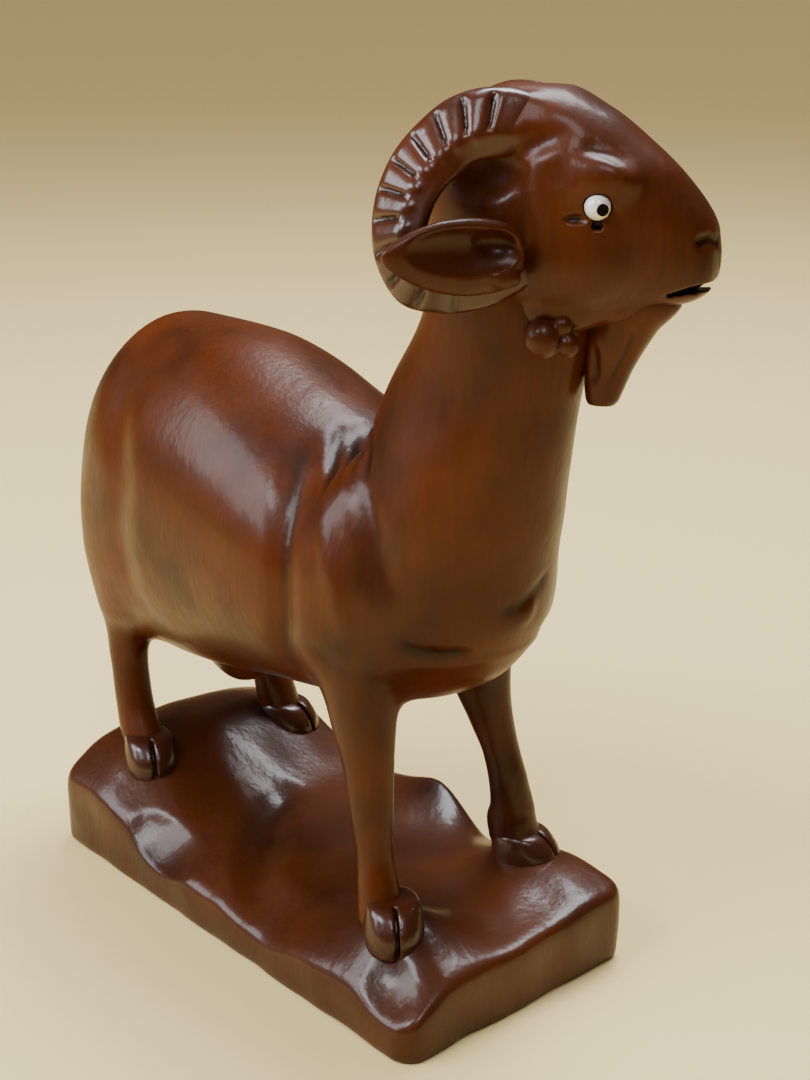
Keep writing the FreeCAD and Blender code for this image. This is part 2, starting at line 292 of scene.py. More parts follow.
def unevenness(clay, size, height, seed):
    """A gentle unevenness of the hand-worked surface, from a few waves in chance directions."""
    draw = np.random.default_rng(seed)
    total = np.zeros(clay.value.shape, dtype=np.float32)
    for _ in range(WAVE_COUNT):
        way = draw.normal(size=3)
        way *= 2 * math.pi / (size * draw.uniform(*WAVE_SPREAD)) / np.linalg.norm(way)
        phase = draw.uniform(0, 2 * math.pi)
        total += np.sin(clay.x * np.float32(way[0]) + clay.y * np.float32(way[1])
                        + clay.z * np.float32(way[2]) + np.float32(phase))
    clay.value += total * (height / math.sqrt(WAVE_COUNT))


# ---------------------------------------------------------------- meshes


def relaxed(points, quads, rounds):
    """Smooths a mesh by moving each vertex half way to the middle of its neighbours."""
    edges = np.concatenate([quads[:, [i, (i + 1) % 4]] for i in range(4)])
    count = np.maximum(np.bincount(edges.ravel(), minlength=len(points)), 1)
    for _ in range(rounds):
        middle = np.zeros_like(points)
        for axis in range(3):
            middle[:, axis] = np.bincount(edges[:, 0], points[edges[:, 1], axis], len(points))
            middle[:, axis] += np.bincount(edges[:, 1], points[edges[:, 0], axis], len(points))
        points = points + 0.5 * (middle / count[:, None] - points)
    return points


def turned_head(points):
    """From the frame in which the head faces +X, to its place on the body."""
    c, s = math.cos(HEAD_TURN), math.sin(HEAD_TURN)
    x, y, z = np.asarray(points, dtype=float).T
    return np.stack([c * x - s * y, s * x + c * y, z], axis=1) + HEAD_PIVOT


def new_mesh(name, points, quads):
    """A mesh from points in millimetres, with its faces turned outwards."""
    a, b, c, d = (points[quads[:, i]] for i in range(4))
    volume = np.einsum("ij,ij->i", np.cross(c - a, d - b), a).sum()
    if volume < 0:
        quads = quads[:, ::-1]
    mesh = bpy.data.meshes.new(name)
    mesh.vertices.add(len(points))
    mesh.vertices.foreach_set("co", (points * MM).astype(np.float32).ravel())
    mesh.loops.add(quads.size)
    mesh.loops.foreach_set("vertex_index", quads.ravel().astype(np.int32))
    mesh.polygons.add(len(quads))
    mesh.polygons.foreach_set("loop_start", np.arange(0, quads.size, 4, dtype=np.int32))
    mesh.update(calc_edges=True)
    mesh.validate()
    mesh.polygons.foreach_set("use_smooth", np.ones(len(quads), dtype=bool))
    return mesh


def make_piece(clay, name, place=None, flip=False, rounds=3, reach=2.0):
    """Meshes a field as a Blender object. The attribute bend says how hollow or sharp the surface is; the
    wood's painted shade in hollows is read from it.
    """
    grid = vdb.FloatGrid(FAR)
    grid.copyFromArray(np.clip(clay.value, -FAR, FAR))
    points, quads = grid.convertToQuads(isovalue=0.0)
    quads = np.asarray(quads, dtype=np.int64)
    points = np.asarray(points, dtype=float) * clay.step + clay.low
    points = relaxed(points, quads, rounds)
    around = [clay.sample(points + sign * reach * axis) for axis in np.eye(3) for sign in (-1, 1)]
    bend = np.mean(around, axis=0) - clay.sample(points)
    if flip:
        points = points * (1, -1, 1)
    if place:
        points = place(points)
    mesh = new_mesh(name, points, quads)
    layer = mesh.attributes.new("bend", "FLOAT", "POINT")
    layer.data.foreach_set("value", (bend / reach).astype(np.float32))
    piece = bpy.data.objects.new(name, mesh)
    bpy.context.scene.collection.objects.link(piece)
    print(f"{name}: {len(points)} vertices")
    return piece


def settle_piece(piece, slot, material, *nodes):
    """Gives a piece its finish, hangs it on the body and hides the CAD nodes that it stands for."""
    piece.data.materials.clear()
    piece.data.materials.append(material)
    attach(piece, BODY)
    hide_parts(*nodes)


# ---------------------------------------------------------------- the body

BODY_LOW, BODY_HIGH = (-90, -37, 14), (82, 37, 172)
BODY_STEP = 0.8

# x, half width, low z, back z
TORSO = (
    (-86.5, 0.6, 95, 97), (-83.5, 8, 84, 107), (-79.5, 14.5, 72, 119), (-71, 23.6, 60, 131.6),
    (-55, 30, 52.5, 140.4), (-30, 33, 54, 140), (0, 33, 59.5, 131.4), (24, 31, 63.5, 122.5),
    (44, 26, 69, 115.5), (57, 17.5, 79, 110), (64, 8, 89, 101), (66.5, 0.6, 94, 96),
)
# z, x, y, half length, half width, turn
NECK = (
    (86, 39, 0, 22, 19, 0), (94, 40.5, 0, 24.5, 21, 0), (108, 43, 0, 25.5, 22.3, 0),
    (125, 47.5, 0, 24.4, 19.2, 4), (140, 52.9, 0, 21.9, 15.8, 10), (153, 59, 0, 18.8, 13.6, 20),
    (162, 61.6, 0, 17.2, 12.5, 26),
    (170, 63, 0, 14, 11, 30),
)
# z, x, y, half length, half width, turn
LEGS = {
    "front_right": (
        (21, 46.2, -22, 6.2, 5.6, -15), (27, 44.3, -21.6, 5.2, 4.9, -15), (35.8, 42, -20.9, 4.3, 4.1, -10),
        (45.8, 39.8, -20.1, 5.1, 4.7, 0), (55.6, 38, -19.4, 6.2, 5.4, 0), (64, 35.7, -18.8, 8.2, 6.6, 0),
        (75, 33.3, -18, 10.5, 7.8, 0), (86, 31.5, -17, 12, 8, 0),
    ),
    "front_left": (
        (22, 41.5, 24.3, 7, 5.8, 15), (28.7, 40.3, 23.3, 6.2, 5.6, 15), (32.7, 41, 22.8, 5.5, 5.1, 10),
        (39.3, 40.6, 21.8, 5.0, 4.7, 0), (45.8, 39.1, 21, 4.8, 4.4, 0), (53.5, 36.3, 20, 5.8, 5, 0),
        (61.2, 34, 19, 7.4, 6.2, 0), (75, 31.5, 18, 10.5, 7.8, 0), (86, 30, 17, 12, 8, 0),
    ),
    "rear_right": (
        (25, -52.5, -20.4, 6.4, 5.4, -10), (28.2, -53.2, -20.2, 6.1, 5.3, -10),
        (32, -55.6, -19.8, 5.9, 5.2, -5), (38.3, -58.8, -19.2, 5.1, 4.6, 0), (45.5, -61, -18.6, 5, 4.6, 0),
        (52.6, -62.3, -18, 5.5, 5.1, 0),
        (59.6, -61.9, -17.5, 7.2, 6.2, 0), (66, -60, -17, 10.5, 8.5, 0), (80, -58, -16.5, 14, 10, 0),
    ),
    "rear_left": (
        (23.7, -50, 23, 7, 5.6, 10), (28.3, -51.4, 22.6, 6.3, 5.5, 10), (34.3, -52.6, 22, 5.8, 5.2, 5),
        (42, -55.5, 20.6, 5.2, 4.7, 0), (50, -57.6, 19, 5.4, 5, 0), (59, -58.2, 17.8, 7.2, 6.2, 0),
        (66, -58, 17, 10.5, 8.5, 0), (80, -58, 16.5, 14, 10, 0),
    ),
}
LEG_REACH = 22
LEG_ROOM = 4
LEG_FOOT = 14.5
# centre, half sizes, blend
HAUNCH = ((-56.5, 13.8, 86), (19.5, 15, 29), 5)
SHOULDER = ((33, 14.5, 96), (16, 13.6, 28), 6)
BRISKET = ((45, 0, 86), (16, 15, 13), 6)
# x, half width, low z, high z
SHEATH = (
    (-51.5, 0.6, 51, 53), (-47, 3.8, 47.5, 57), (-38, 5.6, 46, 60), (-29, 4.2, 48.8, 60), (-24, 0.6, 53, 58),
)
# z, x, y, half length, half width, turn
TAIL = (
    (91.5, -86.3, 0, 0.6, 0.8, 0), (94, -86.2, 0, 1.6, 2.2, 0), (104, -85.8, 0, 2.8, 4.2, 0),
    (116, -83.4, 0, 3.4, 4.4, 0), (127, -78.5, 0, 3, 3, 0),
)
SHEATH_BOX = ((-56, -12, 40), (-18, 12, 70))
TAIL_BOX = ((-92, -10, 88), (-70, 10, 132))
BELLY_CREASE = ((13, -12, 130), (16, -21, 123), (19, -26, 116), (21, -29, 108), (22.5, -31, 100),
                (23, -31, 92), (21, -29, 82), (18, -25, 73), (14, -18, 66))
FLANK_FOLD = ((-46, -18, 135), (-47, -23, 128), (-45, -28, 119), (-41, -32, 104), (-42, -32, 90),
              (-41, -30, 80), (-37, -27, 70), (-30, -25, 64))
WITHER_STROKES = (
    ((14, -5, 130), (19.5, -13.7, 125.5), (23.7, -19.9, 121), (28.2, -25.7, 116)),
    ((15, 0.2, 130), (18, -6.2, 128.6), (22.5, -13.5, 125.2), (28.5, -20.8, 121.5), (32.5, -25.5, 117)),
    ((15.8, 2.6, 130), (19.2, -4, 128.8), (26, -13.3, 126.5), (32, -20.4, 123), (35, -24, 119)),
    ((27, -6, 132), (31, -13, 129.5), (35, -18.5, 126), (38.5, -22, 121)),
)
SHOULDER_RIDGE = ((29, -22, 116), (32, -26, 110), (36, -28, 103), (39, -29, 95), (42, -27, 87))
NECK_FOLD = ((25, -11, 126), (34, -19, 122), (43, -23, 114), (47, -24, 105), (51, -23, 95))
CHEST_SWELL = ((30, -29, 85), (35, -26, 80), (41, -24, 77), (48, -19, 74))
CHEST_CREASE = ((50, -22.5, 88.5), (53, -21, 87), (56, -18.5, 85.5), (59.5, -14.5, 85.5), (63, -10.5, 87.5))
# line, width, depth, whether its bottom is sharp, share of the length over which its ends fade
BODY_LINES = (
    (BELLY_CREASE, 3.6, 1.9, False, 0.2), (BELLY_CREASE, 1.0, 0.5, False, 0.3),
    (FLANK_FOLD, 6.0, 1.5, False, 0.35), *[(stroke, 1.5, 2.3, True, 0.3) for stroke in WITHER_STROKES],
    (SHOULDER_RIDGE, 2.6, -0.7, False, 0.25), (NECK_FOLD, 3.5, 0.9, False, 0.25),
    (CHEST_SWELL, 3.0, 0.9, False, 0.25), (CHEST_CREASE, 1.7, 1.9, False, 0.25),
)
BRISKET_LINE = ((67, 8.6, 102), (68, 3, 99.5), (68, -2, 97), (66.5, -9, 95))


def make_body():
    clay = Clay(BODY_LOW, BODY_HIGH, BODY_STEP)
    clay.join(lengthwise(clay, TORSO, power=2.15))
    clay.join(upright(clay, NECK), blend=9)
    for _, side in SIDES:
        swell(clay, HAUNCH, side)
        swell(clay, SHOULDER, side)
    swell(clay, BRISKET)
    for stations in LEGS.values():
        ends = np.array((stations[0][1:3], stations[-1][1:3]))
        top = stations[-1][0] + LEG_ROOM
        part = clay.window((*(ends.min(0) - LEG_REACH), BODY_LOW[2]), (*(ends.max(0) + LEG_REACH), top))
        part.join(upright(part, stations), blend=6)
    part = clay.window(*SHEATH_BOX)
    part.join(lengthwise(part, SHEATH), blend=5)
    part = clay.window(*TAIL_BOX)
    part.join(upright(part, TAIL), blend=3)
    for side in (1, -1):
        for points, width, depth, sharp, fade in BODY_LINES:
            groove(clay, on_side(points, side), width, depth, sharp, fade)
    groove(clay, BRISKET_LINE, width=1.5, depth=0.9)
    unevenness(clay, size=26, height=0.14, seed=3)
    clay.keep(LEG_FOOT - clay.z)
    return make_piece(clay, "goat_body", reach=3.0)


# ---------------------------------------------------------------- the plinth

PLINTH_GRID = ((-74, -38, -2), (71, 37, 36))
PLINTH_STEP = 0.7
PLINTH_LOW, PLINTH_HIGH = (-71.0, -36.3), (69.6, 33.8)
PLINTH_CORNER = 5.5
ROCK_EDGE = 5.0
ROCK_LEVEL = 16.0
# Turns a height above the rock into a distance from it.
ROCK_SLOPE = 0.93
# x, y, rise, spread along x, spread along y
ROCK_FORMS = (
    (-61.0, 2.0, 14.6, 26.0, 50.0), (50.0, -20.0, 8.4, 15.0, 13.0), (-49.0, -21.0, 2.6, 12.0, 11.0),
    (2.0, 36.0, 6.0, 15.0, 14.0), (24.0, 40.0, -6.0, 8.0, 14.0), (52.0, 28.0, 5.0, 20.0, 20.0),
    (18.0, -30.0, -3.0, 9.0, 18.0),
    (0.0, -42.0, -7.0, 160.0, 13.0), (70.0, -36.0, -3.0, 26.0, 26.0),
)
RAVINE = ((14, -37, 10), (8, -31, 11.5), (1, -24, 13), (-8, -15, 15), (-18, -4, 18), (-26, 9, 21))
# the lowest point of each scooped tool cut, the way that it faces, and its radius
ROCK_SCOOPS = (
    ((-31, -30, 13.4), (0.3, -0.66, 0.69), 26), ((58, -30, 13.0), (0.22, -0.66, 0.72), 26),
)


def rock_height(x, y):
    """The height of the rock, before it is carved."""
    height = ROCK_LEVEL
    for cx, cy, rise, along, across in ROCK_FORMS:
        height = height + rise * np.exp(-(((x - cx) / along) ** 2) - ((y - cy) / across) ** 2)
    return height


def make_plinth():
    clay = Clay(*PLINTH_GRID, PLINTH_STEP)
    middle = [(l + h) / 2 for l, h in zip(PLINTH_LOW, PLINTH_HIGH)]
    half = [(h - l) / 2 for l, h in zip(PLINTH_LOW, PLINTH_HIGH)]
    dx = np.abs(clay.x - middle[0]) - (half[0] - PLINTH_CORNER)
    dy = np.abs(clay.y - middle[1]) - (half[1] - PLINTH_CORNER)
    outside = np.sqrt(np.maximum(dx, 0) ** 2 + np.maximum(dy, 0) ** 2)
    side = outside + np.minimum(np.maximum(dx, dy), 0) - PLINTH_CORNER
    top = (clay.z - rock_height(clay.x, clay.y)) * ROCK_SLOPE
    clay.value[...] = -smooth_min(-side, -top, ROCK_EDGE)
    clay.keep(-clay.z, blend=1.5)
    groove(clay, RAVINE, width=5.0, depth=2.8, fade=0.2)
    for point, slope, radius in ROCK_SCOOPS:
        way = np.array(slope) / np.linalg.norm(slope)
        clay.cut(ball(clay, np.array(point) + way * radius, (radius,) * 3), blend=1.0)
    unevenness(clay, size=16, height=0.25, seed=11)
    clay.keep(-clay.z)
    return make_piece(clay, "rock_plinth", reach=2.5)


# ---------------------------------------------------------------- hooves

HOOF_GRID = ((-12, -10, -5), (14, 10, 12))
HOOF_STEP = 0.4
# x, y, level of the ground, turn in degrees
HOOVES = {
    "front_right": (49.4, -22.0, 20.6, -34), "front_left": (43.2, 24.6, 19.6, 20),
    "rear_right": (-50.2, -20.8, 25.4, -24), "rear_left": (-49, 23.4, 23.0, 15),
}
# height above the hoof's base, forward, half length, half width
HOOF_STATIONS = (
    (-4, 0.8, 8.0, 6.4), (0, 0.8, 8.5, 6.8), (2, 0.6, 8.2, 6.7), (4.6, -0.2, 7.3, 6.3), (7, -1.0, 6.2, 5.7),
    (9, -1.8, 5.4, 5.3),
)
HOOF_TOP = 6.6
# the sloping front of the crown: the direction that it faces and a point on it, both as x and z
CROWN_WAY, CROWN_POINT = (0.42, 0.9), (8, 5.2)
CLEFT_HALF_WIDTH, CLEFT_DEPTH, CLEFT_BACK = 0.4, 1.6, 2.5


def make_hoof(name):
    *middle, ground, turn = HOOVES[name]
    turn = math.radians(turn)
    clay = Clay(*HOOF_GRID, HOOF_STEP)
    stations = [(z, x, 0, length, width, 0) for z, x, length, width in HOOF_STATIONS]
    clay.value[...] = upright(clay, stations, power=2.3)
    crown = CROWN_WAY[0] * (clay.x - CROWN_POINT[0]) + CROWN_WAY[1] * (clay.z - CROWN_POINT[1])
    clay.keep(crown, blend=2.5)
    clay.keep(clay.z - HOOF_TOP, blend=2.0)
    cleft = np.maximum(np.abs(clay.y) - CLEFT_HALF_WIDTH, CLEFT_BACK - clay.x)
    clay.cut(np.maximum(cleft, -CLEFT_DEPTH - clay.value), blend=0.5)

    def place(points):
        c, s = math.cos(turn), math.sin(turn)
        x, y, z = points.T
        return np.stack([middle[0] + c * x - s * y, middle[1] + s * x + c * y, ground + z], axis=1)

    return make_piece(clay, f"{name}_hoof_piece", place=place, rounds=2, reach=1.0)


# ---------------------------------------------------------------- the head

HEAD_GRID = ((-23, -22, 153), (43, 22, 205))
HEAD_STEP = 0.4
# forward, half width, jaw z, crown z
HEAD = (
    (-20.5, 0.6, 181, 184), (-19, 5, 173, 190), (-15, 9, 168.5, 195.5), (-9, 12, 165.5, 200.5),
    (-2, 14, 163, 203),
    (7, 15, 160.5, 202.6), (16, 13.8, 160, 198.4), (24, 11.3, 161, 192.8), (31.5, 8.5, 162, 186),
    (35.8, 6.8, 163.8, 180.8), (37.8, 4.6, 166, 177), (38.7, 0.6, 169.5, 173),
)
EYE = (17.3, 13.0, 181.5)
BEAD_RADIUS = 2.5
BEAD_GAP = 0.15
EYE_REACH = 10
MOUTH = ((42, 0, 166.4), (36, -4, 165.9), (30, -7.5, 164.4))
MOUTH_BOX = ((26, -12, 160), (43, 12, 170))
MOUTH_CORNER = 29.6
# half the gape at the corner, what it gains in front, and from where to where along x
HALF_GAPE, GAPE_GAIN, GAPE_FROM, GAPE_TO = 0.35, 0.45, 29.5, 35
MOUTH_DEPTH = 2.0
# centre, half sizes, blend
BROW = ((16, 10.4, 186.4), (8.5, 4.5, 4.8), 4)
CHEEK = ((9, 8.5, 170), (13, 6.5, 9), 6)
JAW = ((9, 6.5, 160.5), (8.5, 5.5, 4.5), 4)
THROAT = ((19, 0, 161), (9, 6, 4.5), 5)
HORN_PIT = ((-6, 18, 187.5), (11, 8.5, 6.5), 4)
PIT_BOX = ((-22, 3, 172), (12, 22, 201))
HORN_ROOT_BOX = ((-8, 2, 182), (22, 22, 205))
HORN_CREASE = ((15, 11.5, 195.6), (11, 11.8, 194.6), (7, 12.4, 193.2), (1.5, 13.4, 190.8), (-4, 13.5, 188))
BROW_ARC = ((10.4, 12, 190.6), (13.3, 12, 192), (17.2, 12, 192.2), (20.5, 11.5, 190.4), (23.3, 11.5, 187.4),
            (24.6, 11.5, 184.4))
TEMPLE_FOLD = ((6, 14, 189.5), (9.5, 14.5, 187), (11, 14.5, 183))
EAR_CREASE = ((3, 14.5, 187), (2.2, 15, 181), (3, 15, 174.5), (4.5, 14.5, 168))
NOSTRIL = ((34.3, 6.5, 174.6), (36.4, 5, 175.4), (38.2, 2.6, 174.9))
# forward of the eye, above it, half length, half height
LID_CORNERS = ((-3.4, -2.3, 2.9, 1.2), (3.8, -0.9, 2.9, 1.1))
LID_OUT, LID_DEPTH = 2.2, 1.9
# the cut under the eye: half width, half height, distance below the eye and innermost y
UNDER_EYE = (1.0, 0.75, 3.5, 11.8)


def carve_eye(clay, side):
    eye = np.array((EYE[0], EYE[1] * side, EYE[2]))
    part = clay.window(eye - EYE_REACH, eye + EYE_REACH)
    part.cut(ball(part, eye, (BEAD_RADIUS + BEAD_GAP,) * 3), blend=0.2)
    for along, rise, length, height in LID_CORNERS:
        lid = eye + (along, LID_OUT * side, rise)
        part.cut(ball(part, lid, (length, LID_DEPTH, height)), blend=0.1)
    half_width, half_height, drop, innermost = UNDER_EYE
    notch = np.maximum(np.abs(part.x - eye[0]) - half_width, np.abs(part.z - eye[2] + drop) - half_height)
    part.cut(np.maximum(notch, innermost - side * part.y))


def carve_mouth(clay):
    lips = finer(MOUTH, 2)
    part = clay.window(*MOUTH_BOX)
    height = eased([(x, z) for x, _, z in lips], part.x)[0]
    gape = HALF_GAPE + GAPE_GAIN * smooth_step(part.x, GAPE_FROM, GAPE_TO)
    slot = np.maximum(np.abs(part.z - height) - gape, MOUTH_CORNER - part.x)
    part.cut(np.maximum(slot, -MOUTH_DEPTH - part.value), blend=0.3)


def add_horn_root(clay, side):
    """Adds the horn's first stretch to the head. It sinks where the horn's own piece takes over."""
    root = side_window(clay, HORN_ROOT_BOX, side)
    horn, share = horn_field(root, side)
    horn = horn + ROOT_SINK * smooth_step(share, HORN_JOIN / 2, HORN_JOIN)
    root.join(np.maximum(horn, (share - HORN_JOIN) * HORN_LENGTH), blend=2.5)


def carve_head_side(clay, side):
    for form in (BROW, CHEEK, JAW):
        swell(clay, form, side)
    add_horn_root(clay, side)
    groove(clay, on_side(HORN_CREASE, side), width=2.4, depth=1.8, fade=0.5)
    pit = side_window(clay, PIT_BOX, side)
    centre, radii, blend = HORN_PIT
    pit.cut(ball(pit, on_side([centre], side)[0], radii), blend)
    groove(clay, on_side(BROW_ARC, side), width=1.8, depth=1.0, fade=0.4)
    groove(clay, on_side(TEMPLE_FOLD, side), width=3.4, depth=0.5, fade=0.5)
    groove(clay, on_side(EAR_CREASE, side), width=2.4, depth=1.2, fade=0.4)
    carve_eye(clay, side)
    groove(clay, on_side(NOSTRIL, side), width=0.9, depth=1.7, sharp=True, fade=0.2)


def make_head():
    clay = Clay(*HEAD_GRID, HEAD_STEP)
    clay.join(lengthwise(clay, HEAD, power=2.35))
    for _, side in SIDES:
        carve_head_side(clay, side)
    swell(clay, THROAT)
    carve_mouth(clay)
    clay.keep(clay.z - CROWN_FLAT, blend=0.8)
    unevenness(clay, size=13, height=0.1, seed=5)
    return make_piece(clay, "goat_head", place=turned_head, rounds=3, reach=1.6)


# ---------------------------------------------------------------- horns

HORN_GRID = ((-28, 0, 156), (19, 33, 205))
HORN_STEP = 0.35
HORN_CENTRE = (-3.3, 182.2)
HORN_START = 40
HORN_LEAD = 30
HORN_SWEEP = 262
# the length of the curl at its middle radius of 14 mm
HORN_LENGTH = math.radians(HORN_SWEEP) * 14.0
# the share of the sweep that belongs to the head's piece
HORN_JOIN = 0.205
# how deep the head's stretch of horn and the horn's own piece each sink into the other
ROOT_SINK, HORN_SINK = 2, 0.8
# share of the sweep, outer radius, radial half size, lateral half size, lateral place
HORN = (
    (0, 20, 5.8, 4.6, 7.5), (0.12, 20.4, 6.4, 5, 9.6), (0.2, 20.5, 6.6, 5.2, 12),
    (0.28, 20.3, 6.6, 5.2, 14.5), (0.37, 19.6, 6.5, 5, 17.5), (0.47, 20, 6.4, 4.9, 20.5),
    (0.57, 21.2, 6.4, 4.8, 23), (0.66, 22.9, 6.2, 4.7, 24.8), (0.733, 24, 5.8, 4.6, 25),
    (0.8, 22.4, 5.4, 4.4, 23.4), (0.87, 20.6, 4.6, 4, 20), (1, 17.5, 2.4, 2.4, 13),
)
# the first and last groove as shares of the sweep, their number, and their shape
RIB_FIRST, RIB_LAST, RIB_COUNT = 0.19, 0.83, 11
RIB_DEPTH, RIB_WIDTH, RIB_SWELL = 0.95, 0.11, 0.12
# where the grooves set in before the first and die out after the last, in groove spacings
RIBS_SET_IN, RIBS_DIE_OUT = (-0.45, -0.2), (-0.2, 0.4)
# the edges of the grooved face, in shares of the half sizes: beside the head, at the rim and inside the curl
FACE_TILT = 0.25
FACE_SIDE, FACE_RIM, FACE_INSIDE = (-0.3, 0.1), (0.74, 0.94), (-0.1, 0.12)
INNER_EDGE, INNER_SCALLOP = -0.55, 0.5
# outline of the section: radial and lateral place, in shares of the half sizes
HORN_OUTLINE = ((1, -0.6), (0.92, 0.1), (-0.28, 0.95), (-1.02, 0.55), (-0.95, -0.4), (0, -0.9))
HORN_ROUNDING = 0.35


def horn_section(a, b):
    """How far a place in the section lies outside its rounded outline."""
    gauge = None
    for (a1, b1), (a2, b2) in zip(HORN_OUTLINE, HORN_OUTLINE[1:] + HORN_OUTLINE[:1]):
        na, nb = b1 - b2, a2 - a1
        length = math.hypot(na, nb)
        flat = (a - a1) * (-na / length) + (b - b1) * (-nb / length)
        gauge = flat if gauge is None else -smooth_min(-gauge, -flat, HORN_ROUNDING)
    return gauge


def horn_grooves(share, a, b):
    """The depth of the grooves across the horn's outer face. The flutes between them swell a little."""
    last = RIB_COUNT - 1
    phase = (share - RIB_FIRST) / (RIB_LAST - RIB_FIRST) * last
    near = np.abs(phase - np.round(phase))
    ending = smooth_step(phase, last + RIBS_DIE_OUT[0], last + RIBS_DIE_OUT[1])
    present = smooth_step(phase, *RIBS_SET_IN) * (1 - ending)
    inner = INNER_EDGE + INNER_SCALLOP * (1 - 2 * near) ** 2
    face = smooth_step(b - FACE_TILT * a, *FACE_SIDE) * (1 - smooth_step(a, *FACE_RIM))
    face = face * smooth_step(a - inner, *FACE_INSIDE)
    ribs = RIB_DEPTH * np.exp(-((near / RIB_WIDTH) ** 2)) + RIB_SWELL * (np.cos(2 * math.pi * near) - 1)
    return present * face * ribs


def horn_field(clay, side=1):
    """The horn's distance field without its ends, and how far along the horn each point is."""
    dx, dz = clay.x - HORN_CENTRE[0], clay.z - HORN_CENTRE[1]
    angle = np.degrees(np.arctan2(dz, dx))
    angle = np.where(angle < HORN_START - HORN_LEAD, angle + 360, angle)
    share = (angle - HORN_START) / HORN_SWEEP
    radius = np.sqrt(dx * dx + dz * dz)
    outer, radial, lateral, place = eased(HORN, share)
    a = (radius - (outer - radial)) / radial
    b = (side * clay.y - place) / lateral
    surface = evened(horn_section(a, b) + 1, clay.step)
    return surface + horn_grooves(share, a, b), share


def make_horn(name, side):
    clay = Clay(*HORN_GRID, HORN_STEP)
    surface, share = horn_field(clay)
    ends = np.maximum(HORN_JOIN / 4 - share, share - 1) * HORN_LENGTH
    sunk = HORN_SINK * (1 - smooth_step(share, HORN_JOIN / 4, HORN_JOIN * 0.7))
    clay.value[...] = np.maximum(surface + sunk, ends)
    clay.keep(clay.z - CROWN_FLAT, blend=0.6)
    return make_piece(clay, name, place=turned_head, flip=side < 0, rounds=2, reach=1.0)


# ---------------------------------------------------------------- ears

EAR_STEP = 0.35
EAR_ROOT = np.array((5.5, 15.0, 171.8))
EAR_TIP = np.array((-17.5, 36.5, 174.0))
# share of the length, half height, half thickness
EAR = (
    (0.06, 2.6, 1.4), (0.1, 4.6, 2.2), (0.16, 6.0, 2.8), (0.25, 6.9, 3.1), (0.42, 7.4, 3.1),
    (0.6, 6.8, 2.7), (0.78, 5.0, 2.1), (0.9, 3.0, 1.5), (0.96, 1.6, 1.0), (0.985, 0.8, 0.6),
)
EAR_UP = (0.12, 0.0, 1.0)
# share of the length, up, out, half length as a share, half height, half depth, blend
EAR_HOLLOWS = ((0.5, 1.6, 4.1, 0.42, 5.0, 4.7, 0.5), (0.3, 2.4, 3.2, 0.17, 3.3, 4.8, 0.8))


def make_ear(name, side):
    along = EAR_TIP - EAR_ROOT
    length = np.linalg.norm(along)
    along = along / length
    up = np.array(EAR_UP)
    up = up - along * (up @ along)
    up = up / np.linalg.norm(up)
    out = np.cross(up, along)
    if out[0] < 0:
        out = -out
    clay = Clay((-1, -9, -6), (length + 2, 9, 6), EAR_STEP)
    height, thick = eased(EAR, clay.x / length)
    gauge = np.sqrt((clay.y / height) ** 2 + (clay.z / thick) ** 2)
    clay.value[...] = evened(gauge, EAR_STEP)
    clay.keep(np.maximum(EAR[0][0] * length - clay.x, clay.x - EAR[-1][0] * length), 0.8)
    for share, rise, depth, reach, *radii, blend in EAR_HOLLOWS:
        clay.cut(ball(clay, (length * share, rise, depth), (length * reach, *radii)), blend)
    swell(clay, ((length * 0.2, -3.6, 2.4), (3.2, 1.8, 1.3), 1.0))

    def place(points):
        x, y, z = points.T
        spots = EAR_ROOT + np.outer(x, along) + np.outer(y, up) + np.outer(z, out)
        return turned_head(spots * (1, side, 1))

    return make_piece(clay, name, place=place, rounds=2, reach=1.0)


# ---------------------------------------------------------------- beard and wattles

# z, forward, sideways, half length, half width, turn
BEARD = (
    (140.6, 16.4, 0, 2.6, 2.2, 0), (141.8, 16.6, 0, 3.3, 2.8, 0), (148.5, 17.9, 0, 4.9, 4.2, 0),
    (156, 20.2, 0, 6.9, 5.2, 0), (162, 22.5, 0, 9.2, 5.6, 0), (167, 22.5, 0, 8.5, 4.6, 0),
)
BEARD_GRID = ((8, -9, 138), (36, 9, 170))
BEARD_STEP = 0.4
BEARD_CURL = ((17.9, 0, 142.6), (2.2, 3.0, 2.0), 0.8)
BEARD_CREASES = (
    ((14.6, 5, 154), (15.4, 5, 150.6), (15.6, 5, 147.5), (14.6, 5, 144.6)),
    ((22.6, 5, 158.6), (23.2, 5, 155.6), (21.8, 5, 151), (19.6, 5, 146.4), (18.4, 5, 143)),
)
WATTLE_STEP = 0.3
WATTLE_MARGIN = 5
# x, y, z, radius
WATTLES = {
    "right": ((7.3, -12.2, 155.8, 3.7), (12, -10.9, 154.6, 2.3), (11, -11.6, 158.4, 1.9)),
    "left": ((6.5, 14.7, 155.8, 3.7), (11.2, 13.9, 154.6, 2.3), (10.2, 14.2, 158.4, 1.9)),
}


def make_beard():
    clay = Clay(*BEARD_GRID, BEARD_STEP)
    clay.value[...] = upright(clay, BEARD, power=2.2)
    swell(clay, BEARD_CURL)
    for side in (1, -1):
        for crease in BEARD_CREASES:
            groove(clay, on_side(crease, side), width=0.9, depth=1.0, fade=0.3)
    return make_piece(clay, "beard_piece", place=turned_head, rounds=2, reach=1.0)


def make_wattle(side):
    lobes = WATTLES[side]
    places = np.array(lobes)[:, :3]
    clay = Clay(places.min(0) - WATTLE_MARGIN, places.max(0) + WATTLE_MARGIN, WATTLE_STEP)
    for x, y, z, radius in lobes:
        clay.join(ball(clay, (x, y, z), (radius, radius, radius * 1.08)), blend=0.5)
    return make_piece(clay, f"{side}_wattle_piece", place=turned_head, rounds=2, reach=0.8)


# ---------------------------------------------------------------- materials

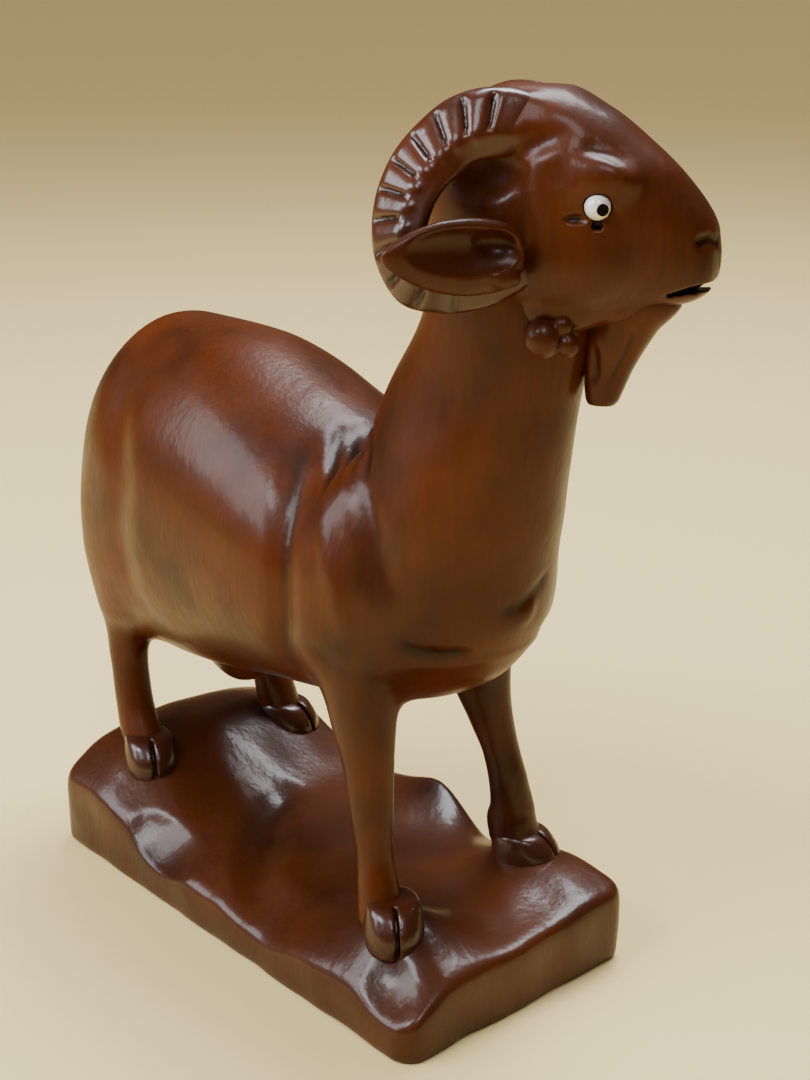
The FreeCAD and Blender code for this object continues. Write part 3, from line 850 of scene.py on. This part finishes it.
WOOD_SPECULAR = 0.12
WOOD_COAT_ROUGHNESS = 0.22
SMOOTHEST, ROUGHEST = 0.36, 0.5
BUMP_STRENGTH, BUMP_DISTANCE = 0.35, 0.0003
GLASS_COAT_ROUGHNESS = 0.05
# the bend at which the painted shade in a hollow starts and is darkest, then the same for an edge that
# lightens
HOLLOW_SHADE_BEND, EDGE_BEND = (-0.04, -0.28), (0.12, 0.4)

def new_material(name):
    material = bpy.data.materials.new(name)
    material.use_nodes = True
    tree = material.node_tree
    shader = tree.nodes["Principled BSDF"]
    return material, tree, shader


def shaded(colour, share):
    """A colour made darker or lighter."""
    return tuple(min(1, c * share) for c in colour)


def noise(tree, seed, scale, detail, stretch=(1, 1, 1), rough=0.5):
    """Noise that is fixed to the object, with so many cells to the metre."""
    nodes, links = tree.nodes, tree.links
    mapping = nodes.new("ShaderNodeMapping")
    mapping.inputs["Scale"].default_value = [scale * s for s in stretch]
    mapping.inputs["Location"].default_value = (seed, seed * 0.7, seed * 1.3)
    texture = nodes.new("ShaderNodeTexNoise")
    texture.inputs["Scale"].default_value = 1.0
    texture.inputs["Detail"].default_value = detail
    texture.inputs["Roughness"].default_value = rough
    place = nodes.new("ShaderNodeTexCoord").outputs["Object"]
    links.new(place, mapping.inputs["Vector"])
    links.new(mapping.outputs["Vector"], texture.inputs["Vector"])
    return texture.outputs["Fac"]


def mapped(tree, value, low, high, bottom=0.0, top=1.0):
    """Turns the range from low to high into the range from bottom to top."""
    node = tree.nodes.new("ShaderNodeMapRange")
    node.inputs["From Min"].default_value = low
    node.inputs["From Max"].default_value = high
    node.inputs["To Min"].default_value = bottom
    node.inputs["To Max"].default_value = top
    tree.links.new(value, node.inputs["Value"])
    return node.outputs["Result"]


def mixed(tree, factor, a, b):
    """Mixes two colours, each given as numbers or as a socket."""
    node = tree.nodes.new("ShaderNodeMix")
    node.data_type = "RGBA"
    tree.links.new(factor, node.inputs["Factor"])
    for socket, value in ((node.inputs[6], a), (node.inputs[7], b)):
        if isinstance(value, tuple):
            socket.default_value = (*value, 1)
        else:
            tree.links.new(value, socket)
    return node.outputs[2]


def wood_colour(tree, deep, warm, seed):
    """Patches and grain of two browns, with painted shade darkening the hollows, and lighter on the edges.
    """
    patches = mapped(tree, noise(tree, seed, scale=34, detail=3), 0.3, 0.6)
    grain = mapped(tree, noise(tree, seed, scale=300, detail=4, stretch=(3.2, 3.2, 0.28)), 0.35, 0.7)
    colour = mixed(tree, patches, deep, warm)
    streak = mixed(tree, grain, shaded(warm, 0.62), shaded(warm, 1.15))
    streaked = mapped(tree, noise(tree, seed, scale=70, detail=2), 0.4, 0.7, 0.15, 0.5)
    colour = mixed(tree, streaked, colour, streak)
    bend = tree.nodes.new("ShaderNodeAttribute")
    bend.attribute_name = "bend"
    # painted shade: the hollows are darkened towards a deep brown, as if shade fell in them
    hollow = mapped(tree, bend.outputs["Fac"], *HOLLOW_SHADE_BEND)
    colour = mixed(tree, mapped(tree, hollow, 0, 1, 0, 0.75), colour, shaded(deep, 0.25))
    edge = mapped(tree, bend.outputs["Fac"], *EDGE_BEND, 0, 0.35)
    return mixed(tree, edge, colour, shaded(warm, 1.5))


def make_wood(name, deep, warm, coat=0.2, seed=0.0):
    material, tree, shader = new_material(name)
    links = tree.links
    links.new(wood_colour(tree, deep, warm, seed), shader.inputs["Base Color"])
    roughness = mapped(tree, noise(tree, seed, scale=120, detail=4), 0.3, 0.7, SMOOTHEST, ROUGHEST)
    links.new(roughness, shader.inputs["Roughness"])
    shader.inputs["Coat Weight"].default_value = coat
    shader.inputs["Coat Roughness"].default_value = WOOD_COAT_ROUGHNESS
    shader.inputs["Specular IOR Level"].default_value = WOOD_SPECULAR
    bump = tree.nodes.new("ShaderNodeBump")
    bump.inputs["Strength"].default_value = BUMP_STRENGTH
    bump.inputs["Distance"].default_value = BUMP_DISTANCE
    height = noise(tree, seed, scale=260, detail=2, stretch=(1.6, 1.6, 0.6), rough=0.6)
    links.new(height, bump.inputs["Height"])
    links.new(bump.outputs["Normal"], shader.inputs["Normal"])
    links.new(bump.outputs["Normal"], shader.inputs["Coat Normal"])
    return material


def make_glass_paint(name, colour, roughness, coat=0.6):
    material, tree, shader = new_material(name)
    texture = tree.nodes.new("ShaderNodeTexNoise")
    texture.inputs["Scale"].default_value = 900
    shade = mixed(tree, texture.outputs["Fac"], colour, shaded(colour, 0.8))
    tree.links.new(shade, shader.inputs["Base Color"])
    shader.inputs["Roughness"].default_value = roughness
    shader.inputs["Specular IOR Level"].default_value = min(coat, 0.5)
    shader.inputs["Coat Weight"].default_value = coat
    shader.inputs["Coat Roughness"].default_value = GLASS_COAT_ROUGHNESS
    return material


# ---------------------------------------------------------------- stage

# in metres
FLOOR_HALF = 14.0
FLOOR_COLOUR = (0.74, 0.57, 0.25, 1)
FLOOR_ROUGHNESS = 0.8
WORLD_COLOUR, WORLD_STRENGTH = (1.0, 0.86, 0.6, 1), 0.1
LAMP_TARGET = (0, 0, 0.1)
LAMP_COLOUR = (0.9, 0.95, 1.0)
# name, place and size in metres, power in watts
LAMPS = (
    ("overhead", (-0.14, 0.42, 1.05), (0.5, 0.5), 17), ("window", (-0.5, -0.78, 0.62), (0.55, 0.6), 11),
    ("front_sky", (0.52, -0.34, 0.9), (0.3, 0.3), 3), ("skylight", (-0.06, -0.78, 0.9), (0.4, 0.3), 8),
)
SKY_STRENGTH, SKY_COLOUR = 1.9, (1.0, 0.95, 0.85)
SKY_WIDTH, SKY_TILT = 90, (-15, -20, 0)
# place, lens and sensor in millimetres, pitch up from straight down and turn about +Z in degrees
CAMERA_PLACE = Vector((308.907, -244.149, 227.0))
CAMERA_PITCH = 71.3
CAMERA_TURN = 49.0
CAMERA_LENS = 58.33
CAMERA_SENSOR = 36


def make_stage():
    mesh = bpy.data.meshes.new("floor")
    corners = [(x * FLOOR_HALF, y * FLOOR_HALF, 0) for x, y in ((-1, -1), (1, -1), (1, 1), (-1, 1))]
    mesh.from_pydata(corners, [], [(0, 1, 2, 3)])
    floor = bpy.data.objects.new("floor", mesh)
    bpy.context.scene.collection.objects.link(floor)
    material, tree, shader = new_material("floor_pale")
    shader.inputs["Base Color"].default_value = FLOOR_COLOUR
    shader.inputs["Roughness"].default_value = FLOOR_ROUGHNESS
    mesh.materials.append(material)
    world = bpy.data.worlds.new("studio")
    bpy.context.scene.world = world
    world.use_nodes = True
    back = world.node_tree.nodes["Background"]
    back.inputs["Color"].default_value = WORLD_COLOUR
    back.inputs["Strength"].default_value = WORLD_STRENGTH


def make_lamp(name, place, size, power):
    data = bpy.data.lights.new(name, "AREA")
    data.shape = "RECTANGLE"
    data.size, data.size_y = size
    data.energy = power
    data.color = LAMP_COLOUR
    lamp = bpy.data.objects.new(name, data)
    lamp.location = place
    lamp.rotation_euler = (Vector(LAMP_TARGET) - Vector(place)).to_track_quat("-Z", "Y").to_euler()
    bpy.context.scene.collection.objects.link(lamp)


def make_lights():
    for lamp in LAMPS:
        make_lamp(*lamp)
    sun = bpy.data.lights.new("sky", "SUN")
    sun.energy = SKY_STRENGTH
    sun.angle = math.radians(SKY_WIDTH)
    sun.color = SKY_COLOUR
    sky = bpy.data.objects.new("sky", sun)
    sky.rotation_euler = [math.radians(degrees) for degrees in SKY_TILT]
    sky.visible_glossy = False
    bpy.context.scene.collection.objects.link(sky)


def make_camera():
    data = bpy.data.cameras.new("camera")
    data.sensor_width = CAMERA_SENSOR
    data.lens = CAMERA_LENS
    camera = bpy.data.objects.new("camera", data)
    camera.location = CAMERA_PLACE * MM
    camera.rotation_euler = Euler((math.radians(CAMERA_PITCH), 0, math.radians(CAMERA_TURN)))
    bpy.context.scene.collection.objects.link(camera)
    bpy.context.scene.camera = camera


# ---------------------------------------------------------------- the making


def finish_cad_piece(node, material):
    """Keeps a CAD mesh as it is and gives it a finish."""
    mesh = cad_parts[node].data
    mesh.materials.clear()
    mesh.materials.append(material)
    mesh.polygons.foreach_set("use_smooth", [True] * len(mesh.polygons))


WOOD = make_wood("polished_wood", (0.016, 0.0035, 0.0013), (0.075, 0.0152, 0.0018))
HORN_WOOD = make_wood("horn_wood", (0.017, 0.004, 0.0018), (0.07, 0.014, 0.0025), coat=0.7, seed=3.0)
HOOF_WOOD = make_wood("hoof_wood", (0.018, 0.004, 0.002), (0.05, 0.011, 0.003), coat=0.7, seed=7.0)
PLINTH_WOOD = make_wood("plinth_wood", (0.016, 0.004, 0.002), (0.062, 0.014, 0.0025), coat=0.4, seed=5.0)
BEAD_GLASS = make_glass_paint("bead_glass", (0.82, 0.8, 0.74), 0.12)
PIN_DARK = make_glass_paint("pin_dark", (0.003, 0.002, 0.0015), 0.5, coat=0.05)

make_stage()
make_lights()
make_camera()

settle_piece(make_body(), "carved_wood", WOOD, "torso", "neck", "tail", "sheath",
             *[f"{name}_leg" for name in LEGS])
settle_piece(make_plinth(), "plinth_wood", PLINTH_WOOD, "plinth")
for hoof in LEGS:
    settle_piece(make_hoof(hoof), "hoof_wood", HOOF_WOOD, f"{hoof}_hoof")
settle_piece(make_head(), "carved_wood", WOOD, "head")
settle_piece(make_beard(), "carved_wood", WOOD, "beard")
for side, sign in SIDES:
    settle_piece(make_horn(f"{side}_horn_piece", sign), "horn_wood", HORN_WOOD, f"{side}_horn")
    settle_piece(make_ear(f"{side}_ear_piece", sign), "carved_wood", WOOD, f"{side}_ear")
    settle_piece(make_wattle(side), "carved_wood", WOOD, f"{side}_wattle")
    finish_cad_piece(f"{side}_eye_bead", BEAD_GLASS)
    finish_cad_piece(f"{side}_eye_pin", PIN_DARK)
